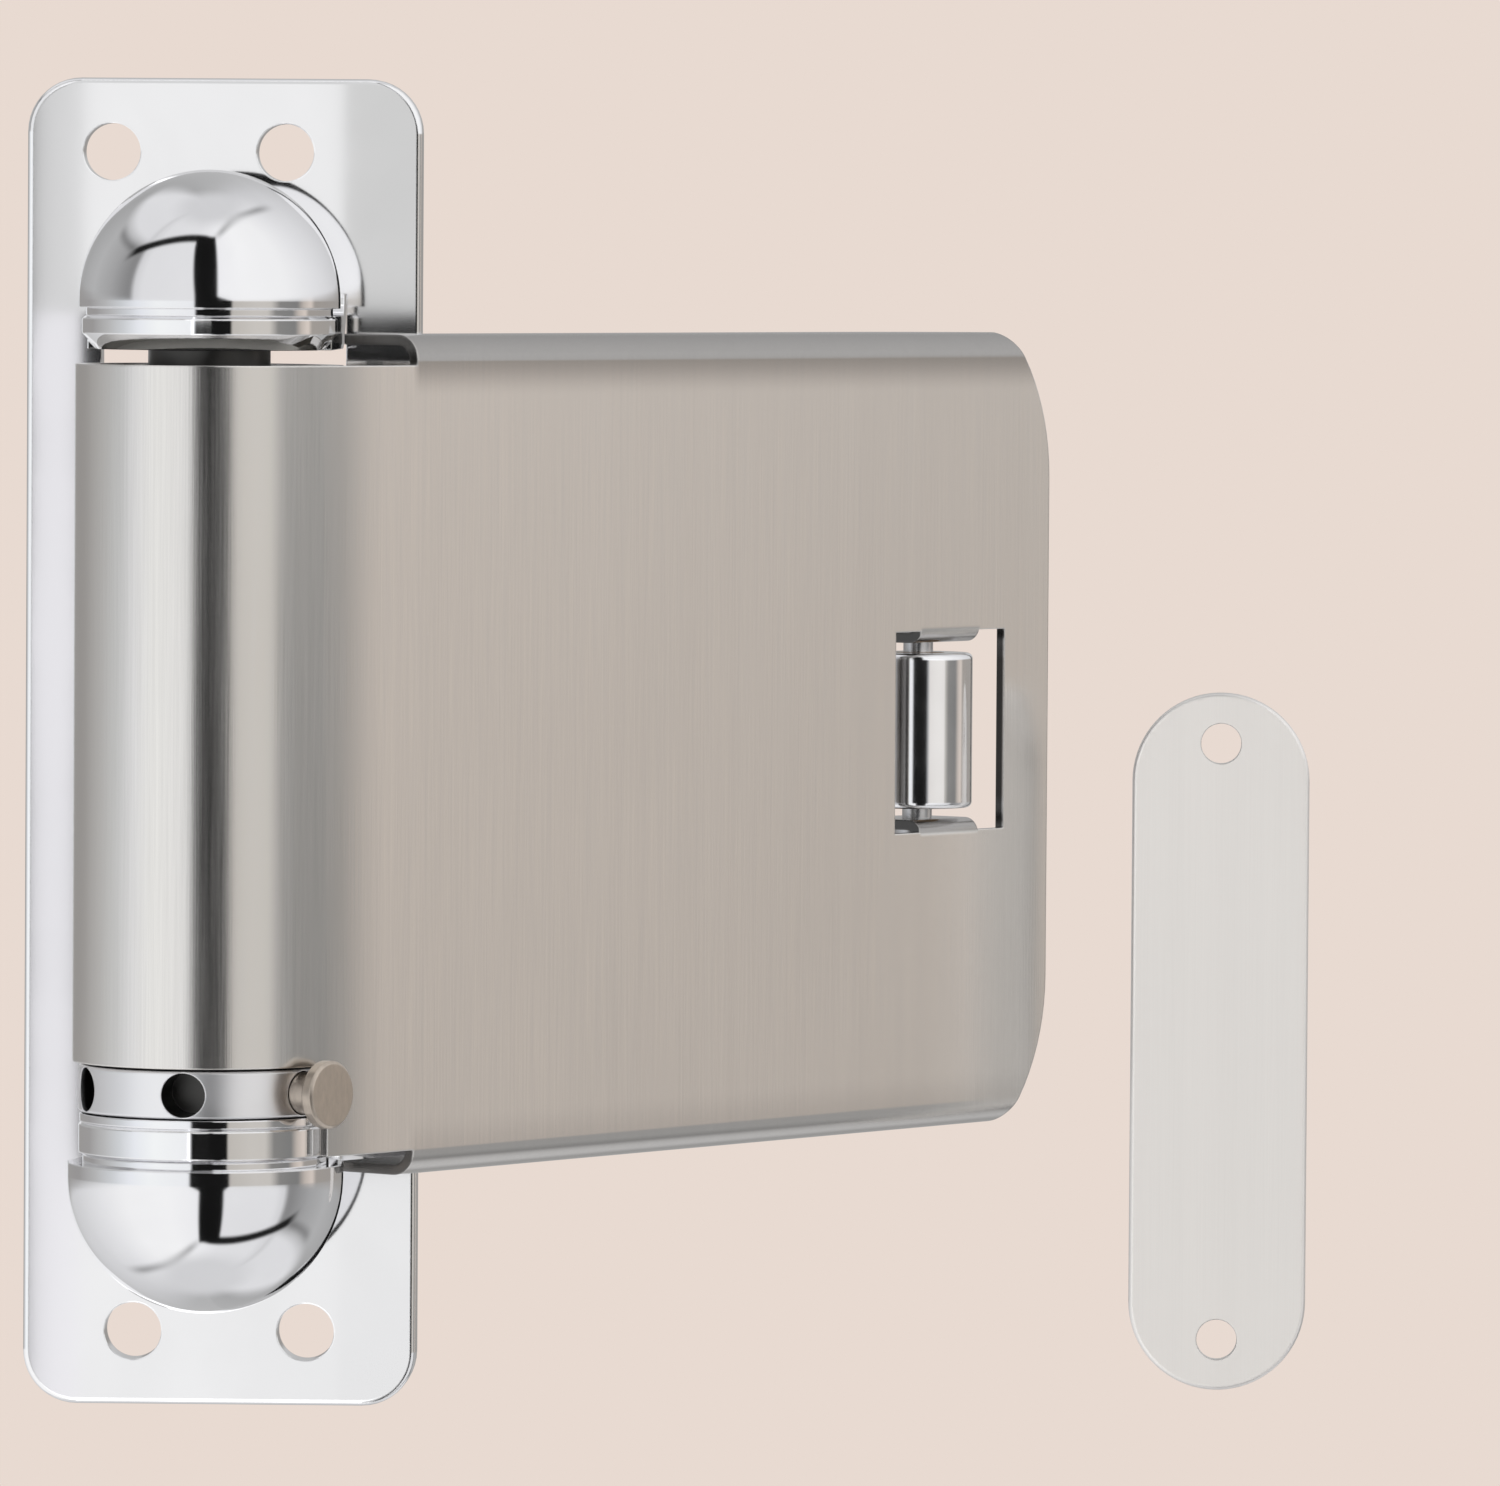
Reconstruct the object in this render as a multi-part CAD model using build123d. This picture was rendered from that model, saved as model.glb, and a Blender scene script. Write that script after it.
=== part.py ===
from build123d import *
import os
from math import asin, atan2, cos, degrees, floor, hypot, pi, radians, sin, sqrt

# Roller-arm spring door closer, in millimetres and degrees.
# Every piece is modelled about the pivot axis (X = Y = 0, the plate's mid-height at Z = 0, the plate
# behind it on +Y) and is moved at the end so that the origin is the middle of the plate's back face.

# Mounting plate
PLATE_WIDTH = 38.0
PLATE_HEIGHT = 128.0
PLATE_SHEET = 3.2
PLATE_CORNER = 5.2
PLATE_EDGE = 0.5
SCREW_HOLE = 5.5
SCREW_SPACING = 16.7
SCREW_MARGIN = 7.1
UPPER_SCREW_SHIFT = -2.5

# Lugs lanced out of the plate, and the place of the barrel that they hold
LUG_INSET = 0.6
LUG_NECK_INSET = 0.5
LUG_BEND = 2.0
UPPER_LUG_CHAMFER = 1.5
LOWER_LUG_CHAMFER = 0.3
LUG_EDGE = 0.3
SHEAR_GAP = 0.2
AXIS_STANDOFF = 18.5
BARREL_RISE = 1.5

# Spindle, domes and washers
SPINDLE = 6.0
SPINDLE_GAP = 0.05
SPINDLE_CHAMFER = 0.6
UPPER_DOME_RADIUS = 12.4
UPPER_DOME_RIM = 0.7
LOWER_DOME_RADIUS = 13.1
LOWER_DOME_RIM = 1.3
DOME_BORE = 8.0
DOME_BORE_SPARE = 0.6
CAP_WASHER = 0.75
CAP_WASHER_INSET = 0.4
THRUST_WASHER = 0.8
THRUST_WASHER_INSET = 0.1

# Rolled knuckle and folded arm
SHEET = 1.0
KNUCKLE_RADIUS = 12.7
KNUCKLE_TOP_GAP = 1.4
KNUCKLE_LENGTH = 66.1
SEAM_ANGLE = 24.0
FLANK_LEAN = 9.6
FLANK_BEND = 57.0
ARM_STEP = 1.2
ARM_LENGTH = 115.4
ARM_HEIGHT = 80.1
ARM_SINK = 1.95
STOP_GAP = 0.35
FLANGE_DEPTH = 9.1
FLANGE_BEND = 2.5
FLANGE_INSET = 3.4
CORNER_RADIUS = 19.5
CORNER_RISE = 14.7
TAPER_RADIUS = 27.5

# Roller in its window, between two ears folded back from the web
ROLLER = 11.0
ROLLER_LENGTH = 15.6
ROLLER_ROUND = 0.6
ROLLER_FROM_TIP = 16.5
ROLLER_DEPTH = 4.1
WINDOW_WIDTH = 18.2
WINDOW_RELIEF = 0.2
EAR_WIDTH = 9.6
EAR_GAP = 1.1
EAR_BEND = 1.6
EAR_REACH = 4.2
EAR_ROUND = 3.6
AXLE = 3.0
AXLE_HEAD_RIM = 0.8
AXLE_HEAD_THICKNESS = 0.7
AXLE_GAP = 0.05
ROLLER_BUSH_WALL = 1.1
ROLLER_BUSH_LENGTH = 5.0

# Spring anchor and bushes
NECK = 11.6
TENON_GAP = 0.05
TENON_SINK = 0.3
PLUG_SINK = 1.2
PLUG_LENGTH = 9.0
BUSH_WALL = 0.9
BUSH_GAP = 0.05
BUSH_INSET = 0.7
ANCHOR_PIN = 2.5
ANCHOR_PIN_INSET = 0.6

# Winding collar and tension pin
COLLAR_INSET = 0.6
COLLAR_SLIT = 0.25
COLLAR_RUN = 0.15
COLLAR_EDGE = 0.2
HUB_ENTRY = 9.0
COLLAR_BUSH_WALL = 1.5
TOMMY_HOLE = 4.2
TOMMY_COUNT = 6
TOMMY_RIM = 0.15
TOMMY_FLOOR = 6.4
PIN_SHANK_GAP = 0.1
PIN_BEARING_GAP = 0.2
PIN_TIP_GAP = 0.4
PIN_HEAD = 6.4
PIN_HEAD_THICKNESS = 1.4
PIN_HEAD_CLEAR = 0.4
PIN_EDGE = 0.25

# Torsion spring and its guide
WIRE = 3.0
COIL_WALL_GAP = 2.2
COIL_PITCH_GAP = 0.5
COIL_END_GAP = 0.3
LEG_DEPTH = 5.0
LEG_GAP = 0.1
GUIDE_GAP = 0.1
GUIDE_COIL_GAP = 0.7

# Rub plate for the door, set beside the arm's tip
RUB_WIDTH = 18.0
RUB_LENGTH = 71.1
RUB_SHEET = 1.5
RUB_EDGE = 0.4
RUB_HOLE = 4.1
RUB_SPACING = 60.8
RUB_TIP_GAP = 8.7
RUB_DROP = 34.0

# Levels and radii that follow from the sizes above
PLATE_BACK = AXIS_STANDOFF + PLATE_SHEET
COLLAR_HEIGHT = TOMMY_HOLE + 2 * TOMMY_RIM
BARREL_STACK = KNUCKLE_TOP_GAP + KNUCKLE_LENGTH + COLLAR_SLIT + COLLAR_HEIGHT + COLLAR_RUN + THRUST_WASHER
LUG_SPAN = BARREL_STACK + 2 * PLATE_SHEET
LUG_RADIUS = KNUCKLE_RADIUS - LUG_INSET
LUG_NECK = 2 * (LUG_RADIUS - LUG_NECK_INSET)
UPPER_LUG_FACE = BARREL_RISE + LUG_SPAN / 2
LOWER_LUG_FACE = BARREL_RISE - LUG_SPAN / 2
UPPER_LUG_UNDER = UPPER_LUG_FACE - PLATE_SHEET
LOWER_LUG_TOP = LOWER_LUG_FACE + PLATE_SHEET
THRUST_TOP = LOWER_LUG_TOP + THRUST_WASHER
KNUCKLE_TOP = UPPER_LUG_UNDER - KNUCKLE_TOP_GAP
KNUCKLE_BOTTOM = KNUCKLE_TOP - KNUCKLE_LENGTH
KNUCKLE_BORE = KNUCKLE_RADIUS - SHEET
RUNNER_RADIUS = KNUCKLE_BORE - BUSH_WALL - BUSH_GAP
PLUG_TOP = KNUCKLE_TOP - PLUG_SINK
PLUG_BOTTOM = PLUG_TOP - PLUG_LENGTH
COLLAR_RADIUS = KNUCKLE_RADIUS - COLLAR_INSET
COLLAR_BOTTOM = THRUST_TOP + COLLAR_RUN
BAND_TOP = COLLAR_BOTTOM + COLLAR_HEIGHT
HUB_TOP = KNUCKLE_BOTTOM + HUB_ENTRY
COIL_RADIUS = KNUCKLE_BORE - COIL_WALL_GAP - WIRE / 2
COLLAR_BORE = SPINDLE / 2 + SPINDLE_GAP + COLLAR_BUSH_WALL
TOMMY_Z = COLLAR_BOTTOM + COLLAR_HEIGHT / 2
PIN_SHANK = TOMMY_HOLE - 2 * PIN_SHANK_GAP
PIN_EDGE_X = PIN_SHANK / 2 + PIN_BEARING_GAP
ARM_OFFSET = KNUCKLE_RADIUS + ARM_STEP
PIN_HEAD_SEAT = ARM_OFFSET + PIN_HEAD_CLEAR
ARM_MID = BARREL_RISE - ARM_SINK
ARM_BOTTOM = ARM_MID - ARM_HEIGHT / 2
WEB_FRONT = -ARM_OFFSET
ROLLER_X = ARM_LENGTH - ROLLER_FROM_TIP
ROLLER_Y = WEB_FRONT + ROLLER_DEPTH
EAR_FACE = ROLLER_LENGTH / 2 + EAR_GAP
TENON = NECK / sqrt(2)

# At rest the flanges' back edges lie a small gap off the plate's front edge, which sets the arm's angle
PLATE_EDGE_REACH = hypot(PLATE_WIDTH / 2, AXIS_STANDOFF)
FLANGE_BACK = ARM_OFFSET - FLANGE_DEPTH - STOP_GAP
ARM_ANGLE = degrees(atan2(AXIS_STANDOFF, PLATE_WIDTH / 2) + asin(FLANGE_BACK / PLATE_EDGE_REACH))

ON_BASE = (Align.CENTER, Align.CENTER, Align.MIN)
ARM_TURN = Rot(0, 0, ARM_ANGLE)
TO_PLATE_ORIGIN = Pos(0, -PLATE_BACK, 0)
CUT_LENGTH = 200.0


def rod(radius, low, high):
    """Round bar about the pivot axis between two heights."""
    return Pos(0, 0, low) * Cylinder(radius, high - low, align=ON_BASE)


def ring(outer, inner, low, high):
    """Tube about the pivot axis between two heights."""
    return rod(outer, low, high) - rod(inner, low, high)


def front_rod(radius, near, far):
    """Round bar from the pivot axis towards the arm's front, -Y, between two distances."""
    return Pos(0, -near, 0) * Rot(90, 0, 0) * Cylinder(radius, far - near, align=ON_BASE)


def lug_face(side):
    """Height of a lug's outer face; side is 1 for the upper lug and -1 for the lower."""
    return BARREL_RISE + side * LUG_SPAN / 2


def lug(side):
    """One lug, chamfered on its inner face, and the bend that joins it to the plate."""
    face = lug_face(side)
    inner_chamfer = UPPER_LUG_CHAMFER if side > 0 else LOWER_LUG_CHAMFER
    neck_end = AXIS_STANDOFF - LUG_BEND
    eye = rod(LUG_RADIUS, 0, PLATE_SHEET)
    eye = chamfer(eye.edges().filter_by(GeomType.CIRCLE).sort_by(Axis.Z)[0], inner_chamfer)
    eye = chamfer(eye.edges().filter_by(GeomType.CIRCLE).sort_by(Axis.Z)[-1], LUG_EDGE)
    neck = extrude(Pos(0, neck_end / 2) * Rectangle(LUG_NECK, neck_end), PLATE_SHEET)
    if side < 0:
        eye = Pos(0, 0, PLATE_SHEET) * Rot(180, 0, 0) * eye
    slab = Pos(0, 0, min(face, face - side * PLATE_SHEET)) * (eye + neck)
    outer = LUG_BEND + PLATE_SHEET
    quarter = Pos(outer / 2, -side * outer / 2) * Rectangle(outer, outer)
    section = (Circle(outer) - Circle(LUG_BEND)) & quarter
    bend = extrude(Plane.YZ * (Pos(neck_end, face + side * LUG_BEND) * section), LUG_NECK / 2, both=True)
    return slab + bend


def lance_window(side):
    """Opening that a lug leaves in the plate when it is folded out."""
    bend_end = lug_face(side) + side * LUG_BEND
    flat_length = pi / 2 * (LUG_BEND + PLATE_SHEET / 2) + AXIS_STANDOFF - LUG_BEND
    eye_height = bend_end - side * flat_length
    neck = Pos(0, (bend_end + eye_height) / 2) * Rectangle(LUG_NECK + 2 * SHEAR_GAP, flat_length)
    outline = neck + Pos(0, eye_height) * Circle(LUG_RADIUS + SHEAR_GAP)
    return extrude(Plane.XZ.offset(-PLATE_BACK) * outline, PLATE_SHEET)


def screw_holes():
    """Four plain screw holes, a pair near each end of the plate."""
    height = PLATE_HEIGHT / 2 - SCREW_MARGIN
    holes = []
    for side, shift in ((1, UPPER_SCREW_SHIFT), (-1, 0)):
        for end in (-1, 1):
            spot = Pos(shift + end * SCREW_SPACING / 2, side * height)
            hole = extrude(Plane.XZ.offset(-PLATE_BACK) * (spot * Circle(SCREW_HOLE / 2)), PLATE_SHEET)
            holes.append(hole)
    return holes


def mounting_plate():
    """Plate and lugs as one stamping, with the holes for the screws, the tenon and the spindle."""
    outline = RectangleRounded(PLATE_WIDTH, PLATE_HEIGHT, PLATE_CORNER)
    plate = extrude(Plane.XZ.offset(-PLATE_BACK) * outline, PLATE_SHEET)
    plate = fillet(plate.faces().sort_by(Axis.Y)[0].edges(), PLATE_EDGE)
    for side in (1, -1):
        plate = plate - lance_window(side) + lug(side)
    hole_side = TENON + 2 * TENON_GAP
    tenon_hole = Pos(0, 0, UPPER_LUG_UNDER) * Box(hole_side, hole_side, PLATE_SHEET, align=ON_BASE)
    spindle_hole = rod(SPINDLE / 2 + SPINDLE_GAP, LOWER_LUG_FACE, LOWER_LUG_TOP)
    return plate - tenon_hole - spindle_hole - screw_holes()


def anchor_pin_hole():
    """Space of the cross pin that locks the anchor to the spindle."""
    height = (PLUG_TOP + PLUG_BOTTOM) / 2
    length = 2 * (RUNNER_RADIUS - ANCHOR_PIN_INSET)
    return Pos(0, 0, height) * Rot(90, 0, 0) * Cylinder(ANCHOR_PIN / 2, length)


def spindle():
    """Plain rod that runs from one dome to the other."""
    reach = LUG_SPAN / 2 + CAP_WASHER + DOME_BORE - DOME_BORE_SPARE
    bar = rod(SPINDLE / 2, BARREL_RISE - reach, BARREL_RISE + reach)
    bar = chamfer(bar.edges().filter_by(GeomType.CIRCLE), SPINDLE_CHAMFER)
    return bar - anchor_pin_hole()


def dome_cap(radius, rim):
    """Domed cap nut, rim down, with a short straight rim and a blind bore for the spindle."""
    dome = Pos(0, 0, rim) * Sphere(radius, 0, 90, align=ON_BASE) + rod(radius, 0, rim)
    return dome - rod(SPINDLE / 2, 0, DOME_BORE)


def upper_dome_cap():
    """Cap nut on the top end of the spindle."""
    return Pos(0, 0, UPPER_LUG_FACE + CAP_WASHER) * dome_cap(UPPER_DOME_RADIUS, UPPER_DOME_RIM)


def lower_dome_cap():
    """Cap nut on the bottom end of the spindle, a little larger than the upper one."""
    cap = Rot(180, 0, 0) * dome_cap(LOWER_DOME_RADIUS, LOWER_DOME_RIM)
    return Pos(0, 0, LOWER_LUG_FACE - CAP_WASHER) * cap


def cap_washers():
    """Thin washer under each dome."""
    radius = LUG_RADIUS - CAP_WASHER_INSET
    bore = SPINDLE / 2 + SPINDLE_GAP
    upper = ring(radius, bore, UPPER_LUG_FACE, UPPER_LUG_FACE + CAP_WASHER)
    lower = ring(radius, bore, LOWER_LUG_FACE - CAP_WASHER, LOWER_LUG_FACE)
    return upper + lower


def lower_thrust_washer():
    """Ring that the collar turns on, lying on the lower lug."""
    radius = LUG_RADIUS - THRUST_WASHER_INSET
    return ring(radius, SPINDLE / 2 + SPINDLE_GAP, LOWER_LUG_TOP, THRUST_TOP)


def leg_hole(low, high):
    """Hole for one upright end of the spring's wire."""
    return Pos(COIL_RADIUS, 0, 0) * rod(WIRE / 2 + LEG_GAP, low, high)


def spring_anchor():
    """Plug that holds the spring's upper end, keyed into the upper lug by a square tenon."""
    tenon_top = UPPER_LUG_FACE - TENON_SINK
    tenon_height = tenon_top - UPPER_LUG_UNDER
    tenon = Pos(0, 0, UPPER_LUG_UNDER) * Box(TENON, TENON, tenon_height, align=ON_BASE)
    body = rod(RUNNER_RADIUS, PLUG_BOTTOM, PLUG_TOP) + rod(NECK / 2, PLUG_TOP, UPPER_LUG_UNDER) + tenon
    body = body - rod(SPINDLE / 2 + SPINDLE_GAP, PLUG_BOTTOM, tenon_top)
    return body - leg_hole(PLUG_BOTTOM, PLUG_BOTTOM + LEG_DEPTH + LEG_GAP) - anchor_pin_hole()


def upper_bush():
    """Bush in the top of the knuckle, running on the anchor's plug."""
    return ring(KNUCKLE_BORE, KNUCKLE_BORE - BUSH_WALL, PLUG_BOTTOM + BUSH_INSET, PLUG_TOP - BUSH_INSET)


def lower_bush():
    """Bush in the bottom of the knuckle, in which the collar's hub turns."""
    return ring(KNUCKLE_BORE, KNUCKLE_BORE - BUSH_WALL, KNUCKLE_BOTTOM + BUSH_INSET, HUB_TOP - BUSH_INSET)


def coil_ends():
    """Heights of the wire's centre at the two ends of the coil."""
    return HUB_TOP + COIL_END_GAP + WIRE / 2, PLUG_BOTTOM - COIL_END_GAP - WIRE / 2


def torsion_spring():
    """Round-wire coil with an upright end in the collar's hub and one in the anchor."""
    low, high = coil_ends()
    turns = floor((high - low) / (WIRE + COIL_PITCH_GAP))
    path = Pos(0, 0, low) * Helix((high - low) / turns, high - low, COIL_RADIUS)
    section = Plane(origin=path @ 0, z_dir=path % 0) * Circle(WIRE / 2)
    coil = sweep(section, path=path, is_frenet=True)
    lower_leg = Pos(COIL_RADIUS, 0, 0) * rod(WIRE / 2, HUB_TOP - LEG_DEPTH, low)
    upper_leg = Pos(COIL_RADIUS, 0, 0) * rod(WIRE / 2, high, PLUG_BOTTOM + LEG_DEPTH)
    elbows = [Pos(COIL_RADIUS, 0, height) * Sphere(WIRE / 2) for height in (low, high)]
    return coil + lower_leg + upper_leg + elbows


def spring_guide():
    """Sleeve on the spindle that keeps the coils straight."""
    outer = COIL_RADIUS - WIRE / 2 - GUIDE_COIL_GAP
    return ring(outer, SPINDLE / 2 + GUIDE_GAP, HUB_TOP + COIL_END_GAP, PLUG_BOTTOM)


def tommy_hole():
    """Space of the tommy-bar hole that faces the arm's front."""
    return Pos(0, 0, TOMMY_Z) * front_rod(TOMMY_HOLE / 2, TOMMY_FLOOR, KNUCKLE_RADIUS)


def winding_collar():
    """Collar that winds the spring: a holed band below the knuckle and a hub inside it."""
    band = rod(COLLAR_RADIUS, COLLAR_BOTTOM, BAND_TOP)
    band = chamfer(band.edges().filter_by(GeomType.CIRCLE), COLLAR_EDGE)
    collar = band + rod(RUNNER_RADIUS, BAND_TOP, HUB_TOP)
    collar = collar - rod(COLLAR_BORE, COLLAR_BOTTOM, HUB_TOP)
    for step in range(TOMMY_COUNT):
        collar = collar - Rot(0, 0, step * 360 / TOMMY_COUNT) * tommy_hole()
    return ARM_TURN * collar - leg_hole(HUB_TOP - LEG_DEPTH - LEG_GAP, HUB_TOP)


def collar_bush():
    """Bush in the collar, turning on the spindle."""
    return ring(COLLAR_BORE, SPINDLE / 2 + SPINDLE_GAP, COLLAR_BOTTOM, HUB_TOP)


def tension_pin():
    """Headed pin in the collar's front hole, which bears on the edge of the arm."""
    shank = front_rod(PIN_SHANK / 2, TOMMY_FLOOR + PIN_TIP_GAP, PIN_HEAD_SEAT)
    head = front_rod(PIN_HEAD / 2, PIN_HEAD_SEAT, PIN_HEAD_SEAT + PIN_HEAD_THICKNESS)
    head = chamfer(head.edges().filter_by(GeomType.CIRCLE), PIN_EDGE)
    return ARM_TURN * Pos(0, 0, TOMMY_Z) * (shank + head)


def flank_points():
    """Plan points of the flank between the knuckle and the web: outer start and end, then inner."""
    lean = radians(FLANK_LEAN)
    rise = ARM_OFFSET - KNUCKLE_RADIUS * cos(lean) - FLANK_BEND * (1 - cos(lean))
    length = rise / sin(lean)
    along = Vector(cos(lean), -sin(lean))
    inward = Vector(sin(lean), cos(lean)) * SHEET
    start = Vector(-sin(lean), -cos(lean)) * KNUCKLE_RADIUS
    end = start + along * length
    return start, end, start + inward, end + inward


def bend_end():
    """Distance along the arm where the bend from the flank meets the flat web."""
    return flank_points()[1].X + FLANK_BEND * sin(radians(FLANK_LEAN))


def knuckle():
    """Rolled loop about the barrel, from the flank round to an open seam behind it."""
    seam = SEAM_ANGLE - 90
    turn = 270 - FLANK_LEAN - seam
    outer = CenterArc((0, 0), KNUCKLE_RADIUS, seam, turn)
    inner = CenterArc((0, 0), KNUCKLE_BORE, seam, turn)
    edges = [outer, Line(outer @ 1, inner @ 1), inner, Line(inner @ 0, outer @ 0)]
    return Pos(0, 0, KNUCKLE_BOTTOM) * extrude(make_face(edges), KNUCKLE_LENGTH)


def web_root():
    """Flank and bend from the knuckle to the flanges, cut back below to the edge that the pin bears on."""
    start, end, inner_start, inner_end = flank_points()
    far = bend_end()
    centre = (far, WEB_FRONT + FLANK_BEND)
    outer = CenterArc(centre, FLANK_BEND, 270 - FLANK_LEAN, FLANK_LEAN)
    inner = CenterArc(centre, FLANK_BEND - SHEET, 270 - FLANK_LEAN, FLANK_LEAN)
    outer_far = Vector(far + FLANGE_INSET, WEB_FRONT)
    inner_far = Vector(far + FLANGE_INSET, WEB_FRONT + SHEET)
    edges = [Line(start, end), outer, Line(outer @ 1, outer_far), Line(outer_far, inner_far)]
    edges += [Line(inner_far, inner @ 1), inner, Line(inner_end, inner_start), Line(inner_start, start)]
    low = ARM_BOTTOM + FLANGE_BEND
    root = Pos(0, 0, low) * extrude(make_face(edges), KNUCKLE_TOP - low)
    waste_x = PIN_EDGE_X - start.X
    waste = Box(waste_x, 2 * ARM_OFFSET, KNUCKLE_BOTTOM - low, align=(Align.MIN, Align.CENTER, Align.MIN))
    return root - Pos(start.X, WEB_FRONT, low) * waste


def channel():
    """Web with its two flanges, as a straight channel from the flanges' start to the tip."""
    depth = FLANGE_DEPTH
    middle = Pos(WEB_FRONT + depth / 2, ARM_MID)
    outer = middle * Rectangle(depth, ARM_HEIGHT)
    hollow = Pos(WEB_FRONT + SHEET + depth / 2, ARM_MID) * Rectangle(depth, ARM_HEIGHT - 2 * SHEET)
    outer = fillet(outer.vertices().group_by(Axis.X)[0], FLANGE_BEND)
    hollow = fillet(hollow.vertices().group_by(Axis.X)[0], FLANGE_BEND - SHEET)
    start = bend_end() + FLANGE_INSET
    return extrude(Plane.YZ.offset(start) * (outer - hollow), ARM_LENGTH - start)


def corner_waste(side):
    """What the round corner of the blank takes off the web and off the end of one flange."""
    arc_z = ARM_MID + side * (ARM_HEIGHT / 2 - CORNER_RISE)
    arc_x = ARM_LENGTH - CORNER_RADIUS
    block = Pos(ARM_LENGTH, WEB_FRONT, arc_z + side * CORNER_RADIUS)
    block = block * Box(2 * CORNER_RADIUS, CUT_LENGTH, 2 * CORNER_RADIUS)
    disc = Pos(arc_x, WEB_FRONT, arc_z) * Rot(90, 0, 0) * Cylinder(CORNER_RADIUS, CUT_LENGTH)
    flange_end = arc_x + sqrt(CORNER_RADIUS**2 - CORNER_RISE**2)
    fold = FLANGE_DEPTH - FLANGE_BEND
    taper_x = flange_end - sqrt(TAPER_RADIUS**2 - (TAPER_RADIUS - fold) ** 2)
    taper_y = WEB_FRONT + FLANGE_DEPTH - TAPER_RADIUS
    flange_z = ARM_MID + side * ARM_HEIGHT / 2
    length = ARM_LENGTH - taper_x
    strip = Pos(taper_x + length / 2, WEB_FRONT + FLANGE_BEND + fold / 2, flange_z)
    strip = strip * Box(length, fold, 2 * FLANGE_BEND)
    sweep_disc = Pos(taper_x, taper_y, flange_z) * Cylinder(TAPER_RADIUS, CUT_LENGTH)
    return [block - disc, strip - sweep_disc]


def ear():
    """Ear above the window's middle, folded back from the web to hold the axle."""
    quarter = Pos(-EAR_BEND / 2, -EAR_BEND / 2) * Rectangle(EAR_BEND, EAR_BEND)
    bend = (Circle(EAR_BEND) - Circle(EAR_BEND - SHEET)) & quarter
    bend = Pos(WEB_FRONT + EAR_BEND, EAR_FACE + EAR_BEND) * bend
    length = ROLLER_DEPTH + EAR_REACH - EAR_BEND
    tab = Pos(WEB_FRONT + EAR_BEND + length / 2, EAR_FACE + SHEET / 2) * Rectangle(length, SHEET)
    piece = extrude(Plane.YZ * (bend + tab), EAR_WIDTH / 2, both=True)
    return fillet(piece.edges().filter_by(Axis.Z).group_by(Axis.Y)[-1], EAR_ROUND)


def roller_arm():
    """Knuckle, web, flanges, window and ears folded from one sheet."""
    arm = knuckle() + web_root() + channel()
    for side in (1, -1):
        arm = arm - corner_waste(side)
    window_height = 2 * (EAR_FACE + SHEET + WINDOW_RELIEF)
    spot = Pos(ROLLER_X, WEB_FRONT + SHEET / 2, ARM_MID)
    arm = arm - spot * Box(WINDOW_WIDTH, 2 * SHEET, window_height)
    arm = arm - spot * Box(EAR_WIDTH, 2 * SHEET, 2 * (EAR_FACE + EAR_BEND))
    upper = Pos(ROLLER_X, 0, ARM_MID) * ear()
    lower = Pos(ROLLER_X, 0, ARM_MID) * mirror(ear(), Plane.XY)
    axle_hole = Pos(ROLLER_X, ROLLER_Y, ARM_MID) * Cylinder(AXLE / 2, 2 * EAR_FACE + 4 * SHEET)
    return ARM_TURN * (arm + upper + lower - axle_hole)


def at_roller(piece):
    """Move a piece made about the roller's own axis to its place on the arm."""
    return ARM_TURN * Pos(ROLLER_X, ROLLER_Y, ARM_MID) * piece


def roller_axle():
    """Pin through both ears, headed over at its ends."""
    reach = EAR_FACE + SHEET
    axle = rod(AXLE / 2, -reach, reach)
    for low in (reach, -reach - AXLE_HEAD_THICKNESS):
        axle = axle + rod(AXLE / 2 + AXLE_HEAD_RIM, low, low + AXLE_HEAD_THICKNESS)
    return at_roller(axle)


def roller():
    """Roller with rounded ends, bored for its bushes."""
    half = ROLLER_LENGTH / 2
    body = rod(ROLLER / 2, -half, half)
    body = fillet(body.edges().filter_by(GeomType.CIRCLE), ROLLER_ROUND)
    return at_roller(body - rod(AXLE / 2 + AXLE_GAP + ROLLER_BUSH_WALL, -half, half))


def roller_bushes():
    """Bush pressed into each end of the roller."""
    half = ROLLER_LENGTH / 2
    bore = AXLE / 2 + AXLE_GAP
    lower = ring(bore + ROLLER_BUSH_WALL, bore, -half, ROLLER_BUSH_LENGTH - half)
    upper = ring(bore + ROLLER_BUSH_WALL, bore, half - ROLLER_BUSH_LENGTH, half)
    return at_roller(lower + upper)


def rub_plate():
    """Flat obround plate with a screw hole near each end, beside the arm's tip and clear of its swing."""
    turn = radians(ARM_ANGLE)
    tip_x = ARM_LENGTH * cos(turn) + ARM_OFFSET * sin(turn)
    tip_y = ARM_LENGTH * sin(turn) - ARM_OFFSET * cos(turn)
    plane = Plane.XZ.offset(-tip_y - RUB_SHEET)
    place = Pos(tip_x + RUB_TIP_GAP + RUB_WIDTH / 2, BARREL_RISE - RUB_DROP)
    plate = extrude(plane * (place * Rot(0, 0, 90) * SlotOverall(RUB_LENGTH, RUB_WIDTH)), RUB_SHEET)
    plate = fillet(plate.faces().sort_by(Axis.Y)[0].edges(), RUB_EDGE)
    for end in (-1, 1):
        spot = place * Pos(0, end * RUB_SPACING / 2)
        plate = plate - extrude(plane * (spot * Circle(RUB_HOLE / 2)), RUB_SHEET)
    return plate


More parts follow.
